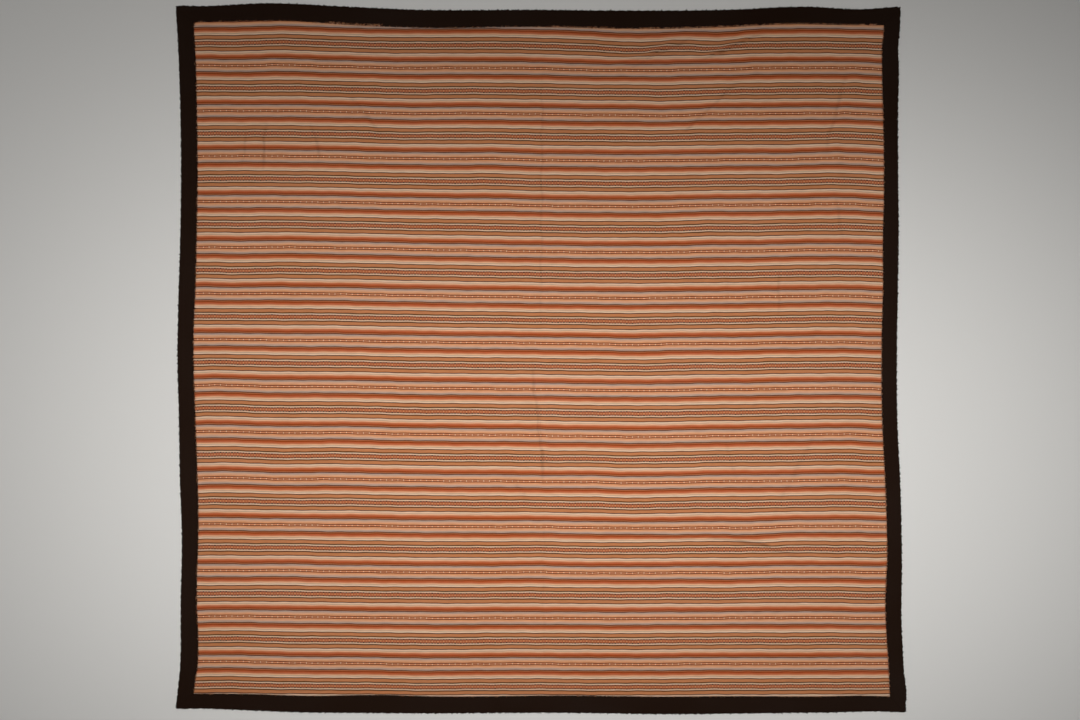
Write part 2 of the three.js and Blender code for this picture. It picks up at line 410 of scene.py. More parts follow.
@dataclass(frozen=True)
class Outline:
    """The outer edge of the spread and the seam between its field and its border."""

    def stand_out(self, side: Side, line: Line, at: Array) -> Array:
        """How far a side stands out from its straight rectangle at each place along it, mm."""
        rows = SIDE_ROWS[side]
        return smooth_through(rows[:, 0], rows[:, line.value], np.asarray(at, dtype=float))

    def points(self, side: Side, line: Line, at: Array, clearance: float = 0.0) -> Array:
        """Works out points of a line along one side.

        They go in even steps between the side's two corners, stood out by the side's own curve.

        Args:
            side: the side.
            line: the line.
            at: places from one corner, -1, to the other, 1.
            clearance: how much further out the line is moved, mm.

        Returns:
            The points, with x and y last, mm.
        """
        along, across = side.along, 1 - side.along
        low, high = side.neighbours
        half = HALF_SIZE[line]
        start = -(half[along] + self.stand_out(low, line, side.outward) + clearance)
        end = half[along] + self.stand_out(high, line, side.outward) + clearance
        points = np.empty(np.shape(at) + (2,))
        points[..., along] = start + (end - start) * (np.asarray(at) + 1) / 2
        points[..., across] = side.outward * (half[across] + self.stand_out(side, line, at) + clearance)
        return points

    def field_plan(self, columns: Array, rows: Array) -> Array:
        """Spreads a grid over the field.

        Each point blends the four seams, less the corners that both pairs of seams count.

        Args:
            columns: places along X, from -1 to 1.
            rows: places along Y, from -1 to 1.

        Returns:
            Points by column and row, with x and y last, mm.
        """
        u = ((columns + 1) / 2)[:, None, None]
        v = ((rows + 1) / 2)[None, :, None]
        foot, head = (self.points(side, Line.SEAM, columns)[:, None] for side in (Side.FOOT, Side.HEAD))
        left, right = (self.points(side, Line.SEAM, rows)[None] for side in (Side.LEFT, Side.RIGHT))
        low = foot[:1] * (1 - u) + foot[-1:] * u
        high = head[:1] * (1 - u) + head[-1:] * u
        return foot * (1 - v) + head * v + left * (1 - u) + right * u - low * (1 - v) - high * v


@dataclass(frozen=True)
class Drape:
    """How the cloth lies: its folds, its fine creases and how its stripes have been pulled about.

    Attributes:
        run_in: share of a fold's length over which it rises from the flat at each end.
        swell: height of the slow waves of cloth that has been spread by hand, mm.
        jog: width of the step that stripes take over a fold, as a share of its reach.
        tremble: how far the stripes wander on their own, mm.
        wander: how far the fine creases stray from their lines, mm.
    """

    run_in: float = 0.3
    swell: float = 0.5
    jog: float = 0.25
    tremble: float = 0.35
    wander: float = 2.2

    def run_in_at(self, share: Array) -> Array:
        """How much of a fold's height it has, by the share of the way along it."""
        return smoothstep(np.minimum(share, 1 - share) / self.run_in)

    def ridge(self, fold: Fold, plan: Array) -> Array:
        """Works out the height of one fold over a plan.

        It is a rounded bump of the distance from the crest over the reach of that flank, times the run-in.

        Args:
            fold: the fold.
            plan: points, with x and y last, mm.

        Returns:
            Heights, mm.
        """
        distance, share, _ = near_crest(fold.crest, plan)
        steep = np.sign(distance) == np.sign(fold.lean)
        reach = np.where(steep, fold.reach * (1 - abs(fold.lean)), fold.reach)
        return fold.height * self.run_in_at(share) * bump(distance / reach)

    def lift(self, plan: Array) -> Array:
        """Height of the cloth's underside over the surface, mm: the tallest fold at each point."""
        return np.max([self.ridge(fold, plan) for fold in FOLDS], axis=0)

    def wandering(self, plan: Array) -> Array:
        """The plan as the fine creases see it, mm: moved by slow crossing sines, to run unevenly."""
        x, y = plan[..., 0], plan[..., 1]
        along_x = np.sin(y / 21 + x / 47) + 0.5 * np.sin(y / 9 - x / 33)
        along_y = np.sin(x / 23 - y / 51 + 1.0) + 0.5 * np.sin(x / 10 + y / 29)
        return plan + self.wander * np.stack([along_x, along_y], axis=-1)

    def creased(self, plan: Array) -> Array:
        """Height of the fine creases, mm: all of them added up."""
        uneven = self.wandering(plan)
        return np.sum([self.ridge(crease, uneven) for crease in CREASES], axis=0)

    def crease_shading(self, plan: Array) -> Array:
        """Works out how dark the painted shade is along the fine creases.

        It is the darkest crease at each point, stronger and weaker along its length.

        Args:
            plan: points, with x and y last, mm.

        Returns:
            Shares from 0 to 1.
        """
        # Painted shade: the yarn is darkened along the fine creases, where their shade falls
        uneven = self.wandering(plan)
        patchy = 0.82 + 0.18 * np.sin(plan[..., 0] / 14 + 1.5 * np.sin(plan[..., 1] / 19))
        shares = []
        for crease in CREASES:
            distance, share, _ = near_crest(crease.crest, uneven)
            shares.append(crease.rub * self.run_in_at(share) * bump(distance / crease.reach))
        return np.max(shares, axis=0) * patchy

    def swelling(self, plan: Array) -> Array:
        """Height of the slow waves, mm: three long sines that cross each other, lifted clear of nothing."""
        x, y = plan[..., 0], plan[..., 1]
        waves = np.sin(x / 83 + 1.3 * np.sin(y / 190)) + np.sin(y / 71 + x / 240 + 0.8)
        slants = np.sin((x + 0.7 * y) / 118 + 2.1) + 0.6 * np.sin((0.6 * x - y) / 52 + 0.4)
        return self.swell * (3.6 + waves + slants) / 3.6

    def pull(self, plan: Array) -> Array:
        """Works out how far the stripes lie from where they were woven.

        Smooth hills of pull are added up, then half of each fold's take-up on either side of its crest,
        towards it, and a slow tremble.

        Args:
            plan: points, with x and y last, mm.

        Returns:
            Distances towards the foot side, mm.
        """
        x, y = plan[..., 0], plan[..., 1]
        total = np.full(x.shape, DRIFT_ALL_OVER)
        for drift in DRIFTS:
            off_x = (x - drift.middle[0]) / drift.reach[0]
            off_y = (y - drift.middle[1]) / drift.reach[1]
            total += drift.amount * np.exp(-(off_x ** 2 + off_y ** 2))
        for fold in FOLDS + CREASES:
            distance, share, rise = near_crest(fold.crest, plan)
            beyond = np.maximum(np.abs(distance) - fold.reach, 0)
            side = np.tanh(distance / (self.jog * fold.reach)) * np.exp(-beyond / (2.5 * fold.reach))
            total += 0.5 * fold.take_up * rise * side * self.run_in_at(share)
        slow = np.sin(x / 41 + 2.2 * np.sin(y / 73)) + np.sin(x / 17 - y / 58) * 0.8
        return total + self.tremble * (slow + np.sin(x / 9.5 + y / 31))


def put_mesh(name: str, points: Array, faces: list[Array], maps: dict[str, Array]) -> bpy.types.Object:
    """Makes an object of a mesh from whole arrays.

    Args:
        name: the piece's name.
        points: vertices by row, mm.
        faces: arrays of vertex numbers, one row a face, each array with its own number of corners.
        maps: UV maps by name, one row a vertex.

    Returns:
        The object, at the origin, with smooth faces.
    """
    mesh = bpy.data.meshes.new(name)
    corners = np.concatenate([part.ravel() for part in faces]).astype(np.int32)
    sizes = np.concatenate([np.full(len(part), part.shape[1]) for part in faces])
    mesh.vertices.add(len(points))
    mesh.vertices.foreach_set("co", (points * MM).astype(np.float32).ravel())
    mesh.loops.add(len(corners))
    mesh.polygons.add(len(sizes))
    mesh.polygons.foreach_set("loop_start", (np.cumsum(sizes) - sizes).astype(np.int32))
    mesh.polygons.foreach_set("vertices", corners)
    mesh.polygons.foreach_set("use_smooth", np.ones(len(sizes), dtype=bool))
    for label, places in maps.items():
        layer = mesh.uv_layers.new(name=label)
        layer.uv.foreach_set("vector", places[corners].astype(np.float32).ravel())
    mesh.update(calc_edges=True)
    mesh.validate()
    piece = bpy.data.objects.new(name, mesh)
    bpy.context.scene.collection.objects.link(piece)
    return piece


def grid_faces(numbers: Array) -> Array:
    """Quads between the neighbours of a two-way array of vertex numbers, seen from above."""
    corners = (numbers[:-1, :-1], numbers[1:, :-1], numbers[1:, 1:], numbers[:-1, 1:])
    return np.stack(corners, -1).reshape(-1, 4)


def unit_square(plan: Array) -> Array:
    """Scales plan points to fill a square of side 1."""
    low, high = plan.min(axis=0), plan.max(axis=0)
    return (plan - low) / (high - low)


class Sketch:
    """A node tree that is being drawn."""

    def __init__(self, tree: bpy.types.NodeTree) -> None:
        """Starts on a tree."""
        self.tree = tree

    def add(self, kind: str, **settings: object) -> bpy.types.Node:
        """Adds a node.

        Args:
            kind: the node's type.
            settings: its properties by name.

        Returns:
            The node.
        """
        node = self.tree.nodes.new(kind)
        for name, value in settings.items():
            setattr(node, name, value)
        return node

    def feed(self, socket: Socket, value: object) -> None:
        """Links a socket to another one, or sets its value.

        Args:
            socket: the socket to feed.
            value: a socket, number or colour.
        """
        if isinstance(value, bpy.types.NodeSocket):
            self.tree.links.new(value, socket)
        else:
            socket.default_value = value

    def math(self, operation: str, *values: object) -> Socket:
        """Adds a sum.

        Args:
            operation: its kind.
            values: its numbers or sockets.

        Returns:
            The socket with the result.
        """
        node = self.add("ShaderNodeMath", operation=operation)
        for socket, value in zip(node.inputs, values):
            self.feed(socket, value)
        return node.outputs[0]

    def mix(self, share: object, first: object, second: object) -> Socket:
        """Mixes two colours.

        Args:
            share: how much of the second.
            first: a colour or its socket.
            second: a colour or its socket.

        Returns:
            The socket with the mixture.
        """
        node = self.add("ShaderNodeMix", data_type="RGBA")
        self.feed(node.inputs["Factor"], share)
        for name, value in (("A_Color", first), ("B_Color", second)):
            self.feed(next(socket for socket in node.inputs if socket.identifier == name), value)
        return next(socket for socket in node.outputs if socket.identifier == "Result_Color")

    def place(self, x: object, y: object, z: object = 0.0) -> Socket:
        """Puts three numbers or sockets together as a place."""
        node = self.add("ShaderNodeCombineXYZ")
        for socket, value in zip(node.inputs, (x, y, z)):
            self.feed(socket, value)
        return node.outputs[0]

    def noise(self, place: Socket, scale: float, detail: float) -> Socket:
        """Noise from 0 to 1 over a place."""
        node = self.add("ShaderNodeTexNoise")
        self.feed(node.inputs["Vector"], place)
        self.feed(node.inputs["Scale"], scale)
        self.feed(node.inputs["Detail"], detail)
        return node.outputs["Fac"]

    def uv(self, name: str) -> tuple[Socket, Socket]:
        """Brings the two numbers of a UV map."""
        parts = self.add("ShaderNodeSeparateXYZ")
        self.feed(parts.inputs[0], self.add("ShaderNodeUVMap", uv_map=name).outputs["UV"])
        return parts.outputs["X"], parts.outputs["Y"]

    def object_place(self) -> Socket:
        """Brings the place in the object's own coordinates."""
        return self.add("ShaderNodeTexCoord").outputs["Object"]

    def steps(self, share: Socket, stops: list[tuple[float, Colour]]) -> Socket:
        """Adds steps of flat colour.

        Args:
            share: a number from 0 to 1.
            stops: where each colour starts, rising from 0, and the colour.

        Returns:
            The socket with the colour.
        """
        node = self.add("ShaderNodeValToRGB")
        node.color_ramp.interpolation = "CONSTANT"
        elements = node.color_ramp.elements
        elements.remove(elements[1])
        elements[0].color = stops[0][1]
        for start, colour in stops[1:]:
            elements.new(start).color = colour
        self.feed(node.inputs["Fac"], share)
        return node.outputs["Color"]

    def bump(self, height: Socket, strength: float, distance: float) -> Socket:
        """Adds fine relief.

        Args:
            height: its height from 0 to 1.
            strength: how much of it shows.
            distance: its full height, metres.

        Returns:
            The socket with the normal.
        """
        node = self.add("ShaderNodeBump")
        for name, value in (("Height", height), ("Strength", strength), ("Distance", distance)):
            self.feed(node.inputs[name], value)
        return node.outputs["Normal"]

    def group(self, tree: bpy.types.NodeTree, **values: object) -> Socket:
        """Places a node group.

        Args:
            tree: the group.
            values: its inputs by name.

        Returns:
            Its first output.
        """
        node = self.add("ShaderNodeGroup", node_tree=tree)
        for name, value in values.items():
            self.feed(node.inputs[name], value)
        return node.outputs[0]


def tone_group(name: str, scale: float, detail: float, fades: bool) -> bpy.types.NodeTree:
    """Makes a shader node group that lightens and darkens a colour.

    The colour's value is 1 plus the strength times noise from -1 to 1. Where it fades, its saturation
    is 1 less the same.

    Args:
        name: the group's name.
        scale: the noise's scale over the place.
        detail: the noise's detail.
        fades: whether the colour also fades.

    Returns:
        The group, from Color, Place and Strength to Color.
    """
    tree = bpy.data.node_groups.new(name, "ShaderNodeTree")
    takes = {"Color": "NodeSocketColor", "Place": "NodeSocketVector", "Strength": "NodeSocketFloat"}
    for label, kind in takes.items():
        tree.interface.new_socket(name=label, in_out="INPUT", socket_type=kind)
    tree.interface.new_socket(name="Color", in_out="OUTPUT", socket_type="NodeSocketColor")
    sketch = Sketch(tree)
    brings = sketch.add("NodeGroupInput").outputs
    swing = sketch.math("MULTIPLY_ADD", sketch.noise(brings["Place"], scale, detail), 2.0, -1.0)
    change = sketch.math("MULTIPLY", swing, brings["Strength"])
    shade = sketch.add("ShaderNodeHueSaturation")
    sketch.feed(shade.inputs["Value"], sketch.math("ADD", 1.0, change))
    if fades:
        sketch.feed(shade.inputs["Saturation"], sketch.math("SUBTRACT", 1.0, change))
    sketch.feed(shade.inputs["Color"], brings["Color"])
    sketch.feed(sketch.add("NodeGroupOutput").inputs["Color"], shade.outputs["Color"])
    return tree


@dataclass(frozen=True)
class Effects:
    """The node groups that the cloth's finishes share.

    Attributes:
        yarn_tone: lightens and darkens a yarn along its length.
        soft_wear: fades cloth in large soft patches.
    """

    yarn_tone: bpy.types.NodeTree
    soft_wear: bpy.types.NodeTree


def new_material(name: str) -> tuple[bpy.types.Material, Sketch, bpy.types.Node]:
    """Starts a material.

    Args:
        name: its name.

    Returns:
        The material, its sketch and its shader.
    """
    material = bpy.data.materials.new(name)
    material.use_nodes = True
    shader = material.node_tree.nodes["Principled BSDF"]
    return material, Sketch(material.node_tree), shader


def dress(piece: bpy.types.Object, material: bpy.types.Material) -> None:
    """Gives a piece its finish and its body.

    Args:
        piece: the piece.
        material: its finish.
    """
    piece.data.materials.append(material)
    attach(piece, BODY)


@dataclass(frozen=True)
class StripedCloth:
    """The weave of the field: a stripe plan that mirrors about two patterned bands.

    Attributes:
        plan: yarns and their number of picks, from the middle of the diamond band to that of the dash band.
        diamond_picks: picks in half the height of a diamond.
        repeat: height of one whole repeat, mm.
        start: height of one diamond band's middle, as woven, mm.
        diamond_ends: warp ends to one diamond.
        between: strength of the weaker set between two diamonds.
        heart: size of the pale heart, as a share of a diamond.
        tip: middle and half height of the dark tips, and their width, as shares of a diamond.
        dot: width of the dash band's dots, as a share of a diamond.
        streaks: scales along a row and across the rows, and strengths, of the yarns' uneven tone.
        grain: strength of the uneven tone from stitch to stitch.
        map_name: UV map that holds places on the flat cloth, metres.
        crease_shade_map: UV map that holds how far painted shade darkens the yarn along the fine creases.
        crease_shade_colour: colour of that painted shade.
    """

    plan: tuple[tuple[Yarn, int], ...] = (
        (Yarn.TERRACOTTA, 7), (Yarn.CREAM, 5), (Yarn.UMBER, 4), (Yarn.CAMEL, 10), (Yarn.BARK, 3),
        (Yarn.OAT, 5), (Yarn.TAN, 3), (Yarn.SALMON, 3), (Yarn.APRICOT, 3), (Yarn.BRICK, 3),
        (Yarn.RUST, 3), (Yarn.DEEP_RUST, 4), (Yarn.CINNAMON, 3), (Yarn.SMOKE, 3), (Yarn.LILAC, 6),
        (Yarn.PEACH, 5), (Yarn.GOLD, 5), (Yarn.CHESTNUT, 3), (Yarn.DUSTY_ROSE, 2),
    )
    diamond_picks: int = 7
    repeat: float = 141.8
    start: float = -11.0
    diamond_ends: int = 20
    between: float = 0.66
    heart: float = 0.64
    tip: tuple[float, float, float] = (0.8, 0.28, 0.55)
    dot: float = 0.12
    streaks: tuple[tuple[float, float, float], ...] = ((38.0, 0.83, 0.24), (16.0, 0.16, 0.13))
    grain: float = 0.14
    map_name: str = "weave"
    # Painted shade along the fine creases: the UV map with its strength, and its dark colour
    crease_shade_map: str = "rub"
    crease_shade_colour: str = "2a1a12"

    @property
    def half(self) -> int:
        """Picks in half a repeat."""
        return sum(count for _, count in self.plan)

    def stripes(self, sketch: Sketch, picks: Socket) -> Socket:
        """Draws the stripe plan.

        Args:
            sketch: the material's sketch.
            picks: picks from the nearest diamond band's middle.

        Returns:
            The stripes' colour.
        """
        stops = []
        woven = 0
        for yarn, count in self.plan:
            stops.append((woven / self.half, yarn.colour))
            woven += count
        return sketch.steps(sketch.math("DIVIDE", picks, self.half), stops)

    def bands(self, sketch: Sketch, colour: Socket, picks: Socket, ends: Socket, slack: Socket) -> Socket:
        """Draws the two patterned bands over the stripes.

        Each is worked on a pick and end count. The diamond band has a pale heart with dark tips above and
        below it at the middle of each diamond, and a weaker set between two diamonds. The dash band has
        a pale dot over each heart. The tips and the dots fade where the yarn is slack.

        Args:
            sketch: the material's sketch.
            colour: the stripes' colour.
            picks: picks from the nearest diamond band's middle.
            ends: ends from the nearest diamond's middle, from 0 to 1.
            slack: slow noise along the rows, from 0 to 1.

        Returns:
            The colour with the bands in it.
        """
        up = sketch.math("DIVIDE", picks, self.diamond_picks)
        near = sketch.math("PINGPONG", sketch.math("MULTIPLY", ends, 2.0), 1.0)
        main = sketch.math("LESS_THAN", ends, 0.5)
        strength = sketch.math("MULTIPLY_ADD", main, 1 - self.between, self.between)
        drawn = sketch.math("MULTIPLY", strength, sketch.math("MULTIPLY_ADD", slack, -0.9, 1.6))
        heart = sketch.math("LESS_THAN", sketch.math("ADD", up, near), self.heart)
        middle, reach, width = self.tip
        tip_row = sketch.math("COMPARE", up, middle, reach)
        tip = sketch.math("MULTIPLY", tip_row, sketch.math("LESS_THAN", near, width))
        dash_row = sketch.math("GREATER_THAN", picks, self.half - self.plan[-1][1])
        dot = sketch.math("MULTIPLY", sketch.math("LESS_THAN", ends, self.dot), dash_row)
        colour = sketch.mix(sketch.math("MULTIPLY", tip, drawn), colour, Yarn.PEAT.colour)
        colour = sketch.mix(sketch.math("MULTIPLY", heart, strength), colour, Yarn.CORAL.colour)
        return sketch.mix(sketch.math("MULTIPLY", dot, drawn), colour, Yarn.BLUSH.colour)

    def make(self, effects: Effects) -> bpy.types.Material:
        """Makes the material.

        Picks are the height on the flat cloth over the height of a pick, counted back and forth between
        the two bands. The relief is a rib a pick high that dips at every other end.

        Args:
            effects: the shared node groups.

        Returns:
            The material.
        """
        material, sketch, shader = new_material("striped_cloth")
        pick = self.repeat / (2 * self.half) * MM
        along, height = sketch.uv(self.map_name)
        rows = sketch.math("DIVIDE", sketch.math("SUBTRACT", height, self.start * MM), pick)
        columns = sketch.math("DIVIDE", along, pick)
        row = sketch.math("FLOOR", rows)
        column = sketch.math("FLOOR", columns)
        picks = sketch.math("PINGPONG", sketch.math("ADD", row, 0.5), self.half)
        width = self.diamond_ends / 2
        ends = sketch.math("DIVIDE", sketch.math("PINGPONG", sketch.math("ADD", column, 0.5), width), width)
        slack = sketch.noise(sketch.place(sketch.math("MULTIPLY", along, 9.0), row), 1.0, 2.0)
        colour = self.bands(sketch, self.stripes(sketch, picks), picks, ends, slack)
        for by_metre, by_pick, strength in self.streaks:
            across = sketch.math("MULTIPLY", row, by_pick)
            streak = sketch.place(sketch.math("MULTIPLY", along, by_metre), across)
            colour = sketch.group(effects.yarn_tone, Color=colour, Place=streak, Strength=strength)
        stitch = sketch.place(column, row)
        colour = sketch.group(effects.yarn_tone, Color=colour, Place=stitch, Strength=self.grain)
        colour = sketch.group(effects.soft_wear, Color=colour, Place=sketch.object_place(), Strength=0.03)
        # Painted shade: darkens the yarn along the fine creases
        colour = sketch.mix(sketch.uv(self.crease_shade_map)[0], colour, linear(self.crease_shade_colour))
        rib = sketch.math("ABSOLUTE", sketch.math("SINE", sketch.math("MULTIPLY", rows, np.pi)))
        beat = sketch.math("COSINE", sketch.math("MULTIPLY", sketch.math("ADD", columns, row), np.pi))
        relief = sketch.math("MULTIPLY", rib, sketch.math("MULTIPLY_ADD", beat, 0.35, 0.65))
        sketch.feed(shader.inputs["Base Color"], colour)
        sketch.feed(shader.inputs["Roughness"], sketch.math("MULTIPLY_ADD", relief, -0.12, 0.95))
        sketch.feed(shader.inputs["Normal"], sketch.bump(relief, 0.45, 0.0004))
        shader.inputs["Specular IOR Level"].default_value = 0.12
        shader.inputs["Sheen Weight"].default_value = 0.02
        shader.inputs["Sheen Roughness"].default_value = 0.5
        return material


@dataclass(frozen=True)
class Plush:
    """Dark brown pile cloth.

    Attributes:
        root: colour at the foot of the pile.
        tip: colour at its tips.
        map_name: UV map that holds each tuft's own number and the share of its height.
    """

    root: str = "1d120c"
    tip: str = "2f1f16"
    map_name: str = "tuft"

    def make(self, effects: Effects) -> bpy.types.Material:
        """Makes the material: the root's colour rising to the tip's, toned tuft by tuft and worn in patches.

        Args:
            effects: the shared node groups.

        Returns:
            The material.
        """
        material, sketch, shader = new_material("plush")
        number, height = sketch.uv(self.map_name)
        colour = sketch.mix(height, linear(self.root), linear(self.tip))
        own = sketch.place(sketch.math("MULTIPLY", number, 60.0), 0.0)
        colour = sketch.group(effects.yarn_tone, Color=colour, Place=own, Strength=0.45)
        place = sketch.object_place()
        colour = sketch.group(effects.soft_wear, Color=colour, Place=place, Strength=0.2)
        nap = sketch.noise(place, 900.0, 2.0)
        sketch.feed(shader.inputs["Base Color"], colour)
        sketch.feed(shader.inputs["Roughness"], sketch.math("MULTIPLY_ADD", nap, -0.1, 1.0))
        sketch.feed(shader.inputs["Normal"], sketch.bump(nap, 0.6, 0.0012))
        shader.inputs["Specular IOR Level"].default_value = 0.04
        shader.inputs["Sheen Weight"].default_value = 0.02
        shader.inputs["Sheen Roughness"].default_value = 0.6
        shader.inputs["Sheen Tint"].default_value = linear("8a6a56")
        return material


@dataclass(frozen=True)
class LooseYarn:
    """Cut yarn ends in the colours of the stripes.

    Attributes:
        yarns: the yarns that they are cut from.
        map_name: UV map that holds each end's own number and the share of its length.
    """

    yarns: tuple[Yarn, ...] = (Yarn.PEACH, Yarn.GOLD, Yarn.CAMEL, Yarn.APRICOT, Yarn.SALMON)
    map_name: str = "strand"

    def make(self, effects: Effects) -> bpy.types.Material:
        """Makes the material: a yarn's colour by each end's own number, toned along it.

        Args:
            effects: the shared node groups.

        Returns:
            The material.
        """
        material, sketch, shader = new_material("loose_yarn")
        number, along = sketch.uv(self.map_name)
        count = len(self.yarns)
        colour = sketch.steps(number, [(at / count, yarn.colour) for at, yarn in enumerate(self.yarns)])
        twist = sketch.place(sketch.math("MULTIPLY", number, 50.0), sketch.math("MULTIPLY", along, 4.0))
        colour = sketch.group(effects.yarn_tone, Color=colour, Place=twist, Strength=0.3)
        sketch.feed(shader.inputs["Base Color"], colour)
        shader.inputs["Roughness"].default_value = 0.95
        shader.inputs["Specular IOR Level"].default_value = 0.1
        return material


@dataclass
class Field:
    """The woven field, a thin closed sheet.

    Attributes:
        outline: the lines that it is cut to.
        drape: how it lies.
        thickness: thickness of the cloth, mm.
        cells: cells along X and Y on its face.
        coarse: cells of the face to one of its back, each way.
        roll: distance over which its edge rolls down into the seam, mm.
        roll_drop: how far the edge rolls down, mm.
        pucker: height of the puckers that the seam's stitches draw up, mm.
        bands: middles, reaches and extra density of the bands where its cells lie closer, by axis.
    """

    outline: Outline
    drape: Drape
    thickness: float = 2.0
    cells: tuple[int, int] = (304, 284)
    coarse: int = 4
    roll: float = 5.0
    roll_drop: float = 0.7
    pucker: float = 0.35
    bands: tuple[tuple[tuple[float, float, float], ...], ...] = (
        ((440, 330, 1.6), (-5, 42, 3.0), (915, 80, 1.4), (-540, 80, 1.0), (-918, 18, 3.0), (-857, 20, 3.0),
         (-697, 28, 2.4), (743, 20, 2.4), (-1066, 30, 1.0), (1066, 30, 1.0)),
        ((960, 100, 2.6), (-572, 60, 3.4), (5, 25, 1.0), (770, 120, 1.2), (-1036, 30, 1.0), (1036, 30, 1.0)),
    )

    def places(self, axis: int) -> Array:
        """Packs the grid's lines along an axis.

        The running total of a density, 1 on flat cloth and more over each band, is cut into equal parts.

        Args:
            axis: index of the axis.

        Returns:
            Places from -1 to 1.
        """
        ticks = np.linspace(-1, 1, 2001)
        place = HALF_SIZE[Line.SEAM][axis] * ticks
        density = 1 + sum(extra * bump((place - middle) / reach) for middle, reach, extra in self.bands[axis])
        total = np.concatenate([[0.0], np.cumsum((density[1:] + density[:-1]) / 2)])
        return np.interp(np.linspace(0, total[-1], self.cells[axis] + 1), total, ticks)

    def face_height(self, plan: Array, columns: Array, rows: Array) -> Array:
        """Works out the height of the cloth's face.

        It is the lift of the folds, the thickness, the fine creases and the slow waves, less a roll at
        the edges, with the puckers as short sines that fade away from the seam.

        Args:
            plan: points by column and row, mm.
            columns: the columns' places from -1 to 1.
            rows: the rows' places from -1 to 1.

        Returns:
            Heights, mm.
        """
        half = HALF_SIZE[Line.SEAM]
        from_side = half[0] * (1 - np.abs(columns))[:, None]
        from_end = half[1] * (1 - np.abs(rows))[None, :]
        inside = np.minimum(from_side, from_end)
        along = np.where(from_side < from_end, plan[..., 1], plan[..., 0])
        drawn = np.sin(along / 8.3) + 0.7 * np.sin(along / 13.1 + 1.0)
        height = self.drape.lift(plan) + self.thickness + self.drape.creased(plan)
        height += self.drape.swelling(plan) * smoothstep(inside / 60)
        height -= self.roll_drop * np.exp(-(inside / self.roll) ** 2)
        return height + self.pucker * drawn * np.exp(-inside / 26)

    def build(self) -> bpy.types.Object:
        """Builds the sheet: a fine grid for its face, a coarse one for its back, and walls between them.

        Returns:
            The piece.
        """
        columns, rows = self.places(0), self.places(1)
        plan = self.outline.field_plan(columns, rows)
        face = self.face_height(plan, columns, rows)
        skip = slice(None, None, self.coarse)
        back = np.maximum(face[skip, skip] - self.thickness, 0)
        back_plan = plan[skip, skip]
        top = np.arange(face.size).reshape(face.shape)
        low = face.size + np.arange(back.size).reshape(back.shape)
        faces = [grid_faces(top), grid_faces(low)[:, ::-1]]
        faces.append(self.wall(top[:, 0], low[:, 0]))
        faces.append(self.wall(top[:, -1], low[:, -1])[:, ::-1])
        faces.append(self.wall(top[0], low[0])[:, ::-1])
        faces.append(self.wall(top[-1], low[-1]))
        flat = np.concatenate([plan.reshape(-1, 2), back_plan.reshape(-1, 2)])
        heights = np.concatenate([face.ravel(), back.ravel()])
        woven = flat + np.stack([np.zeros(len(flat)), self.drape.pull(flat)], axis=1)
        points = np.column_stack([flat, heights])
        # Painted shade along the fine creases, kept in a UV map for the cloth's colour
        rub = np.stack([self.drape.crease_shading(flat), np.zeros(len(flat))], axis=1)
        maps = {"weave": woven * MM, "rub": rub, BAKE_MAP: unit_square(flat)}
        return put_mesh("striped_field", points, faces, maps)

    def wall(self, top: Array, low: Array) -> Array:
        """Closes the sheet along one side.

        Args:
            top: vertex numbers along the face's edge.
            low: vertex numbers along the back's edge.

        Returns:
            Faces with two corners on the back and the rest on the face.
        """
        starts = np.arange(len(low) - 1) * self.coarse
        upper = top[starts[:, None] + np.arange(self.coarse, -1, -1)]
        return np.column_stack([low[:-1], low[1:], upper])

    def dress(self, piece: bpy.types.Object, material: bpy.types.Material) -> None:
        """Gives the sheet its finish and its body, and hides the solid that it stands for."""
        dress(piece, material)
        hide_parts("field")


@dataclass
class Tufts:
    """Many small tapering tufts in one mesh.

    Attributes:
        roots: where they grow from, mm.
        ways: directions that they set out in.
        bends: directions that their tips turn to.
        lengths: lengths, mm.
        radii: radii at the root, mm.
        numbers: each tuft's own number from 0 to 1.
    """

    roots: Array
    ways: Array
    bends: Array
    lengths: Array
    radii: Array
    numbers: Array

    SIDES = 3
    WAIST = 0.55
    TAPER = 0.75
    LOWEST = 0.02

    def mesh(self, name: str, map_name: str) -> bpy.types.Object:
        """Builds the tufts: a ring of three at the root, a narrower one at the waist and a point.

        The waist lies on the way that the tuft sets out in, and the tip further on, towards its bend. What
        would reach below the spread is pressed flat.

        Args:
            name: the piece's name.
            map_name: UV map for each tuft's number and the share of its height.

        Returns:
            The piece.
        """
        count = len(self.roots)
        length = self.lengths[:, None]
        across = np.cross(self.ways, np.array([0.31, 0.17, 0.93]))
        across /= np.linalg.norm(across, axis=1, keepdims=True)
        other = np.cross(self.ways, across)
        turn = np.arange(self.SIDES) * 2 * np.pi / self.SIDES
        ring = across[:, None] * np.cos(turn)[:, None] + other[:, None] * np.sin(turn)[:, None]
        ring *= self.radii[:, None, None]
        waist = self.roots + self.ways * length * self.WAIST
        tip = waist + self.bends * length * (1 - self.WAIST)
        rings = [self.roots[:, None] + ring, waist[:, None] + self.TAPER * ring, tip[:, None]]
        points = np.concatenate(rings, axis=1)
        points[..., 2] = np.maximum(points[..., 2], self.LOWEST)
        first = np.arange(count)[:, None] * points.shape[1]
        here = np.arange(self.SIDES)
        after = np.roll(here, -1)
        quads = np.stack([here, after, after + self.SIDES, here + self.SIDES], axis=1)
        cone = np.stack([here + self.SIDES, after + self.SIDES, np.full(self.SIDES, 2 * self.SIDES)], axis=1)
        base = here[::-1][None]
        faces = [(first[:, None] + part).reshape(-1, part.shape[1]) for part in (quads, cone, base)]
        shares = np.repeat([0.0, self.WAIST, 1.0], [self.SIDES, self.SIDES, 1])
        own = np.stack(np.broadcast_arrays(self.numbers[:, None], shares[None]), axis=-1)
        baked = own * 0.96 + 0.02
        maps = {map_name: own.reshape(-1, 2), BAKE_MAP: baked.reshape(-1, 2)}
        return put_mesh(name, points.reshape(-1, 3), faces, maps)


def unit(vectors: Array) -> Array:
    """Vectors scaled to length 1."""
    return vectors / np.linalg.norm(vectors, axis=-1, keepdims=True)


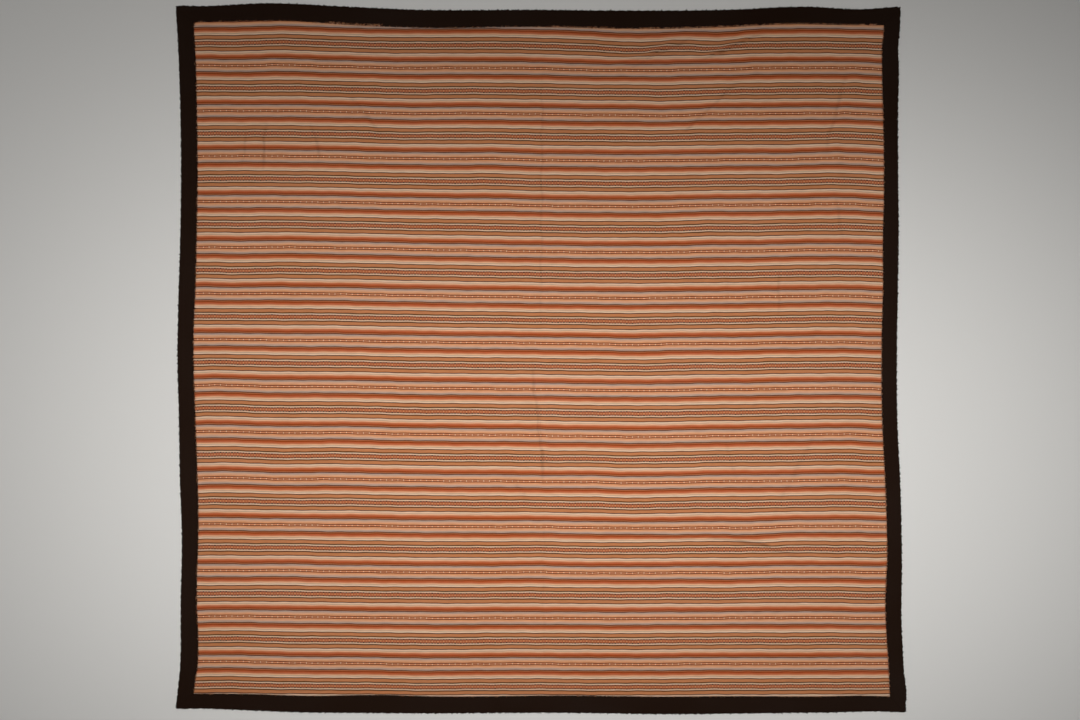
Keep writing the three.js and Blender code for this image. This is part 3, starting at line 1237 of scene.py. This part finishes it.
@dataclass
class BorderStrip:
    """A strip of plush along one side, with its pile.

    Attributes:
        side: its side.
        outline: the lines that it lies between.
        thickness: thickness of its cloth, mm.
        inset: how far its cloth stops inside the outer edge, which the pile fills, mm.
        lobes: how far the turned edge swells and shrinks along its length, mm.
        corner_cut: how far the edge draws in at the rounded corners, mm.
        corner_reach: distance over which it does, mm.
        gap: clearance to the field, mm.
        steps: steps along it.
        section: points round its section.
        mitre_dip: how far its ends dip at the mitre seams, as a share of its thickness.
        mitre_reach: distance over which they dip, mm.
        mitre_gap: clearance to the mitre seams, mm.
        end_packing: how much closer its steps lie towards its ends, from 0 to 1.
        corner_fill: how much longer the pile is where it fills a corner of the field.
        fill_reach: distance over which it does, mm.
        spacing: distance between tufts over its face, mm.
        rim_spacing: distance between tufts along its outer edge, mm.
        pile: mean length of the pile, mm.
    """

    side: Side
    outline: Outline
    thickness: float = 2.4
    inset: float = 1.8
    lobes: float = 2.2
    corner_cut: float = 3.0
    corner_reach: float = 7.0
    gap: float = 0.3
    steps: int = 720
    section: int = 16
    mitre_dip: float = 0.3
    mitre_reach: float = 4.0
    mitre_gap: float = 0.02
    end_packing: float = 0.3
    corner_fill: float = 2.6
    fill_reach: float = 6.0
    spacing: float = 4.0
    rim_spacing: float = 0.9
    pile: float = 2.4

    @property
    def node(self) -> str:
        """Name of the node that the strip stands for."""
        return f"border_{self.side.value}"

    @property
    def half_length(self) -> float:
        """Half the length of its seam, mm."""
        return HALF_SIZE[Line.SEAM][self.side.along]

    def clumps(self, at: Array) -> Array:
        """Works out how far the turned edge and its pile stand out.

        Three uneven waves are added up, about 9, 13 and 25 mm long, each with its phase swung slowly.

        Args:
            at: places along the strip from -1 to 1.

        Returns:
            Shares, about 0 to 1.
        """
        place = at * self.half_length + 400 * self.side.along + 170 * self.side.outward
        fine = np.sin(place / 1.4 + 2.6 * np.sin(place / 23))
        middling = np.sin(place / 2.1 + 2.2 * np.sin(place / 29))
        broad = np.sin(place / 4.0 + 1.9 * np.sin(place / 41))
        return 0.5 + 0.2 * fine + 0.2 * middling + 0.2 * broad

    def plan(self, at: Array, across: Array) -> Array:
        """Works out plan points of the strip, straight across from the seam to the edge.

        The edge swells and shrinks in lobes, and draws in at the corners, which rounds them.

        Args:
            at: places along it from -1 to 1.
            across: shares of the way from the seam, 0, to the edge of its cloth, 1.

        Returns:
            Points, with x and y last, mm.
        """
        seam = self.outline.points(self.side, Line.SEAM, at, self.gap)
        edge = self.outline.points(self.side, Line.EDGE, at, -self.inset)
        from_end = (1 - np.abs(at)) * self.half_length
        cut = self.corner_cut * np.exp(-(from_end / self.corner_reach) ** 2)
        swell = self.lobes * (self.clumps(at) - 0.5) * smoothstep(from_end / self.corner_reach) - cut
        edge[..., 1 - self.side.along] += self.side.outward * swell
        return seam + (edge - seam) * np.asarray(across)[..., None]

    def dip(self, at: Array) -> Array:
        """How much of its thickness is left as it runs into the mitre seams."""
        from_end = (1 - np.abs(at)) * self.half_length
        return 1 - self.mitre_dip * np.exp(-(from_end / self.mitre_reach) ** 2)

    def face_height(self, at: Array, across: Array) -> Array:
        """Height of the strip's face, mm: level, and rounded down at the seam and the edge."""
        rounding = 1 - np.abs(2 * across - 1) ** 9 * 0.7
        return self.thickness * rounding * self.dip(at)

    def build(self) -> bpy.types.Object:
        """Builds the strip's cloth: a flat rounded section carried from mitre to mitre.

        The section goes round as the signed powers of a cosine across and a sine in height.

        Returns:
            The piece.
        """
        even = np.linspace(-1, 1, self.steps + 1)
        at = np.sin(even * np.pi / 2) * self.end_packing + even * (1 - self.end_packing)
        at = at * (1 - self.mitre_gap / self.half_length)
        turn = np.linspace(0, 2 * np.pi, self.section, endpoint=False)
        across = 0.5 + 0.5 * np.sign(np.cos(turn)) * np.abs(np.cos(turn)) ** 0.22
        height = 0.5 + 0.5 * np.sign(np.sin(turn)) * np.abs(np.sin(turn)) ** 0.5
        grid_at, grid_across = np.meshgrid(at, across, indexing="ij")
        plan = self.plan(grid_at, grid_across)
        z = self.thickness * height[None] * self.dip(grid_at)
        numbers = np.arange(z.size).reshape(z.shape)
        round_again = np.concatenate([numbers, numbers[:, :1]], axis=1)
        ends = [numbers[:1], numbers[-1:, ::-1]]
        flips = self.side.along == 0
        outward = self.side.outward > 0
        faces = [grid_faces(round_again), *ends]
        if flips == outward:
            faces = [part[:, ::-1] for part in faces]
        flat = plan.reshape(-1, 2)
        points = np.column_stack([flat, z.ravel()])
        own = np.column_stack([np.zeros(len(flat)), np.full(len(flat), 0.15)])
        along = np.column_stack([grid_at.ravel() / 2 + 0.5, np.tile(turn, len(at)) / (2 * np.pi)])
        return put_mesh(self.node, points, faces, {"tuft": own, BAKE_MAP: along * 0.98 + 0.01})

    def outward_at(self, at: Array) -> Array:
        """Level directions from the seam to the edge, with x, y and z last."""
        way = self.plan(at, np.ones_like(at)) - self.plan(at, np.zeros_like(at))
        return unit(np.concatenate([way, np.zeros(way.shape[:-1] + (1,))], axis=-1))

    def grow(self, random: np.random.Generator) -> bpy.types.Object:
        """Grows the pile: upright tufts over the face, and level ones that stand out round the rims.

        Tufts over the face start from a jittered grid and lean at random. Those along the outer edge come
        in clumps, with the length rising and falling along it, and a few short ones lean over the seam.

        Args:
            random: where the chances come from.

        Returns:
            The piece.
        """
        length = 2 * self.half_length
        lines = int(length / self.spacing)
        width = HALF_SIZE[Line.EDGE][1 - self.side.along] - HALF_SIZE[Line.SEAM][1 - self.side.along]
        rows = int(width / self.spacing)
        even = (np.arange(lines) + 0.5) / lines, (np.arange(rows) + 0.5) / rows
        at, across = np.meshgrid(*even, indexing="ij")
        at = (at + random.uniform(-0.5, 0.5, at.shape) / lines).ravel() * 2 - 1
        across = (across + random.uniform(-0.5, 0.5, across.shape) / rows).ravel()
        rim = int(length / self.rim_spacing)
        rim_at = random.uniform(-1, 1, rim)
        seam_at = random.uniform(-1, 1, rim)
        all_at = np.concatenate([at, rim_at, seam_at])
        all_across = np.concatenate([across, np.full(rim, 0.985), np.full(rim, 0.012)])
        kind = np.repeat([0, 1, 2], [len(at), rim, rim])
        count = len(all_at)
        outward = self.outward_at(all_at)
        upright = np.array([0.0, 0.0, 1.0])
        chance = random.normal(0, 1, (count, 3))
        tilt = np.choose(kind, [0.0, 0.95, -0.9])[:, None]
        stand = np.choose(kind, [1.0, 0.22, 0.4])[:, None]
        ways = unit(outward * tilt + upright * stand + chance * np.array([0.28, 0.28, 0.1]))
        bends = unit(ways + outward * 0.15 + random.normal(0, 0.35, (count, 3)) - upright * 0.25)
        bends[:, 2] = np.maximum(bends[:, 2], 0.02)
        clump = self.clumps(all_at)
        from_corner = (1 - all_at * FILLED_CORNER.get(self.side, 0)) * self.half_length
        fill = 1 + self.corner_fill * np.exp(-(from_corner / self.fill_reach) ** 2)
        over_seam = SEAM_LEAN[self.side] * (0.75 + 0.5 * clump) * fill
        reach = self.pile * np.choose(kind, [0.75, 0.75 + 0.75 * clump, over_seam])
        lengths = reach * random.uniform(0.65, 1.3, count)
        base = self.face_height(all_at, all_across)
        z = np.choose(kind, [base - 0.5, base * random.uniform(0.25, 0.9, count), base + 0.4])
        roots = np.column_stack([self.plan(all_at, all_across), z])
        radii = random.uniform(0.5, 0.85, count) * np.choose(kind, [1.0, 1.45, 1.2])
        tufts = Tufts(roots, ways, bends, lengths, radii, random.uniform(0, 1, count))
        return tufts.mesh(f"pile_{self.side.value}", "tuft")

    def dress(self, cloth: bpy.types.Object, pile: bpy.types.Object, material: bpy.types.Material) -> None:
        """Gives the strip and its pile their finish and hides the solid that the strip stands for.

        Args:
            cloth: the strip's cloth.
            pile: its pile.
            material: their finish.
        """
        dress(cloth, material)
        dress(pile, material)
        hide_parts(self.node)


@dataclass
class YarnEnds:
    """Cut yarn ends that stand out of the seam over the border.

    Attributes:
        outline: the lines of the spread.
        rings: rings along each end.
        radius: radius of the yarn, mm.
        height: height of the border's face, which they lie on, mm.
        tuck: how far inside the seam they start, mm.
    """

    outline: Outline
    rings: int = 5
    radius: float = 0.42
    height: float = 3.1
    tuck: float = 1.5

    SIDES = 4

    def roots(self, random: np.random.Generator) -> tuple[Array, Array, Array]:
        """Scatters the ends along the frayed stretches.

        Args:
            random: where the chances come from.

        Returns:
            Roots in plan, level directions out of the cloth, and lengths, mm.
        """
        places, ways, lengths = [], [], []
        for fray in FRAYS:
            count = int((fray.end - fray.start) / fray.spacing)
            half = HALF_SIZE[Line.SEAM][fray.side.along]
            at = np.sort(random.uniform(fray.start, fray.end, count)) / half
            places.append(self.outline.points(fray.side, Line.SEAM, at, -self.tuck))
            way = np.zeros((count, 2))
            way[:, 1 - fray.side.along] = fray.side.outward
            ways.append(way)
            lengths.append(fray.length * random.uniform(0.45, 1.55, count))
        return np.concatenate(places), np.concatenate(ways), np.concatenate(lengths)

    def build(self, random: np.random.Generator) -> bpy.types.Object:
        """Builds the ends: thin tubes along arcs that climb out of the seam and lie over the border.

        Args:
            random: where the chances come from.

        Returns:
            The piece.
        """
        plan, ways, lengths = self.roots(random)
        count = len(plan)
        share = np.linspace(0, 1, self.rings)
        beside = np.stack([-ways[:, 1], ways[:, 0]], axis=1)
        swing = random.normal(0, 0.55, count)[:, None]
        curl = random.normal(0, 0.5, count)[:, None]
        reach = (lengths + self.tuck)[:, None] * share
        sway = (lengths + self.tuck)[:, None] * (swing * share + curl * share ** 2)
        line = plan[:, None] + ways[:, None] * reach[..., None] + beside[:, None] * sway[..., None]
        rise = self.height * smoothstep(share * 2.2) * random.uniform(0.9, 1.25, count)[:, None] + 0.6
        path = np.concatenate([line, rise[..., None]], axis=2)
        along = unit(np.gradient(path, axis=1))
        level = unit(np.cross(along, np.array([0.0, 0.0, 1.0])))
        up = np.cross(level, along)
        turn = np.arange(self.SIDES) * 2 * np.pi / self.SIDES
        thick = self.radius * random.uniform(0.7, 1.2, count)[:, None] * (1 - 0.55 * share ** 3)
        circle = level[:, :, None] * np.cos(turn)[:, None] + up[:, :, None] * np.sin(turn)[:, None]
        points = path[:, :, None] + circle * thick[..., None, None]
        numbers = np.arange(count * self.rings * self.SIDES).reshape(count, self.rings, self.SIDES)
        after = np.roll(numbers, -1, axis=2)
        quads = np.stack([numbers[:, :-1], after[:, :-1], after[:, 1:], numbers[:, 1:]], axis=-1)
        faces = [quads.reshape(-1, 4)[:, ::-1], numbers[:, 0], numbers[:, -1, ::-1]]
        own = np.empty((count, self.rings, self.SIDES, 2))
        own[..., 0] = random.uniform(0, 1, count)[:, None, None]
        own[..., 1] = share[None, :, None]
        own = own.reshape(-1, 2)
        maps = {"strand": own, BAKE_MAP: own * 0.96 + 0.02}
        return put_mesh("yarn_ends", points.reshape(-1, 3), faces, maps)

    def dress(self, piece: bpy.types.Object, material: bpy.types.Material) -> None:
        """Gives the ends their finish."""
        dress(piece, material)


@dataclass(frozen=True)
class SoftBox:
    """A soft studio light.

    Attributes:
        name: its name.
        place: where it hangs, metres.
        aim: the point that it faces, metres.
        size: its length and its width, metres.
        power: its power, watts.
        spread: angle that its beam opens to, degrees.
    """

    name: str
    place: tuple[float, float, float]
    aim: tuple[float, float, float]
    size: tuple[float, float]
    power: float
    spread: float


@dataclass(frozen=True)
class Studio:
    """The floor, the lights and the camera.

    Attributes:
        camera_height: height of the camera over the floor, metres.
        view_width: width of floor that the camera sees, metres.
        view_middle: point of the floor in the middle of the view, metres.
        sensor: width of the camera's sensor, mm.
        floor_size: side of the floor, metres.
        floor_drop: how far the floor lies below the spread, mm.
        floor_colour: the floor's screen colour.
        sky: strength of the light from all round.
        boxes: the soft lights.
    """

    camera_height: float = 4.0
    view_width: float = 3.348
    view_middle: tuple[float, float] = (-0.003, -0.004)
    sensor: float = 36.0
    floor_size: float = 14.0
    floor_drop: float = 0.3
    floor_colour: str = "d6d4d0"
    sky: float = 0.1
    boxes: tuple[SoftBox, ...] = (
        SoftBox("overhead", (0.15, -0.32, 4.5), (0.15, -0.30, 0.0), (3.4, 1.4), 20.8, 45.0),
        SoftBox("far left side", (-5.2, 1.6, 6.2), (0.0, 0.0, 0.0), (2.6, 2.6), 134.0, 180.0),
    )

    def lay_floor(self) -> None:
        """Lays a plain pale floor under the spread, just below it."""
        corners = np.array([(-1, -1), (1, -1), (1, 1), (-1, 1)]) * self.floor_size / 2 / MM
        points = np.column_stack([corners, np.full(4, -self.floor_drop)])
        floor = put_mesh("floor", points, [np.array([[0, 1, 2, 3]])], {})
        material, sketch, shader = new_material("floor")
        speck = sketch.noise(sketch.object_place(), 40.0, 3.0)
        sketch.feed(shader.inputs["Roughness"], sketch.math("MULTIPLY_ADD", speck, 0.1, 0.75))
        shader.inputs["Base Color"].default_value = linear(self.floor_colour)
        shader.inputs["Specular IOR Level"].default_value = 0.2
        floor.data.materials.append(material)

    def light(self) -> None:
        """Hangs the soft lights and sets the light from all round."""
        world = bpy.data.worlds.new("studio")
        world.use_nodes = True
        world.node_tree.nodes["Background"].inputs["Color"].default_value = (1.0, 1.0, 1.0, 1.0)
        world.node_tree.nodes["Background"].inputs["Strength"].default_value = self.sky
        bpy.context.scene.world = world
        for box in self.boxes:
            lamp = bpy.data.lights.new(box.name, "AREA")
            lamp.shape = "RECTANGLE"
            lamp.size, lamp.size_y = box.size
            lamp.energy = box.power
            lamp.spread = np.radians(box.spread)
            light = bpy.data.objects.new(box.name, lamp)
            light.location = box.place
            away = Vector(box.place) - Vector(box.aim)
            light.rotation_euler = away.to_track_quat("Z", "Y").to_euler()
            light.visible_camera = False
            bpy.context.scene.collection.objects.link(light)

    def place_camera(self) -> None:
        """Puts the camera straight above the spread, with the head side at the top of the picture."""
        camera = bpy.data.cameras.new("camera")
        camera.sensor_width = self.sensor
        camera.sensor_fit = "HORIZONTAL"
        camera.lens = self.sensor * self.camera_height / self.view_width
        holder = bpy.data.objects.new("camera", camera)
        holder.location = (*self.view_middle, self.camera_height)
        bpy.context.scene.collection.objects.link(holder)
        bpy.context.scene.camera = holder
        bpy.context.scene.view_settings.view_transform = "Standard"


def write_sizes() -> None:
    """Updates the view layer."""
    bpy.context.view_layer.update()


def main() -> None:
    """Builds the spread piece by piece, then the studio."""
    logging.basicConfig(level=logging.INFO, format="%(name)s: %(message)s")
    random = np.random.default_rng(SEED)
    effects = Effects(tone_group("yarn tone", 1.0, 3.0, False), tone_group("soft wear", 3.4, 4.0, True))
    outline = Outline()
    studio = Studio()
    studio.place_camera()

    field = Field(outline, Drape())
    sheet = field.build()
    field.dress(sheet, StripedCloth().make(effects))
    LOG.info("%s: %d faces", sheet.name, len(sheet.data.polygons))

    ends = YarnEnds(outline)
    loose = ends.build(random)
    ends.dress(loose, LooseYarn().make(effects))
    LOG.info("%s: %d faces", loose.name, len(loose.data.polygons))

    plush = Plush().make(effects)
    for side in Side:
        strip = BorderStrip(side, outline)
        cloth = strip.build()
        pile = strip.grow(random)
        strip.dress(cloth, pile, plush)
        LOG.info("%s: %d faces, pile %d faces", cloth.name, len(cloth.data.polygons), len(pile.data.polygons))

    studio.lay_floor()
    studio.light()
    write_sizes()


if __name__ == "__main__":
    main()
